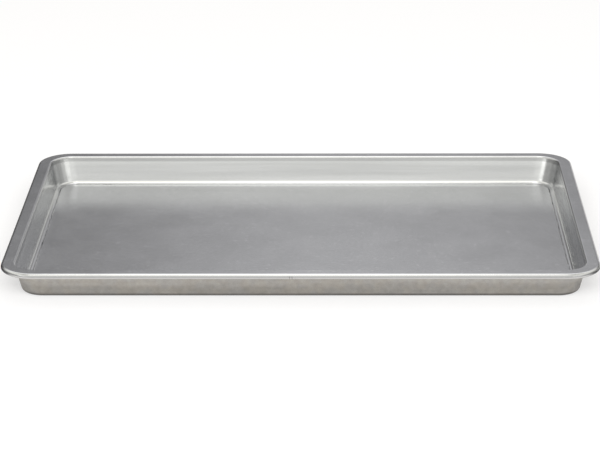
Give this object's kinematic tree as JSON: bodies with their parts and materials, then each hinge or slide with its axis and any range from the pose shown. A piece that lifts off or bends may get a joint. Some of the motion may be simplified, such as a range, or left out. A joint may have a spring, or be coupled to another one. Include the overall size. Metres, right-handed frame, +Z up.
{
  "type": "jelly roll pan",
  "caption": "Shallow rectangular baking pan with rounded corners, sloping walls and a level flange that ends in a curled, wire-stiffened rim.",
  "frame": {"origin": "centre of the base's underside, on the surface that the pan stands on", "axes": "+X along the long sides, +Y from the front long side to the back one, +Z up out of the pan"},
  "size_m": [0.42, 0.28, 0.0214],
  "materials": {
    "pan_sheet": "satin, finely mottled coated sheet",
    "wire_steel": "drawn steel wire"
  },
  "bodies": {
    "root": {"pan_body": "pan_sheet", "rim_wire": "wire_steel"}
  },
  "joints": []
}
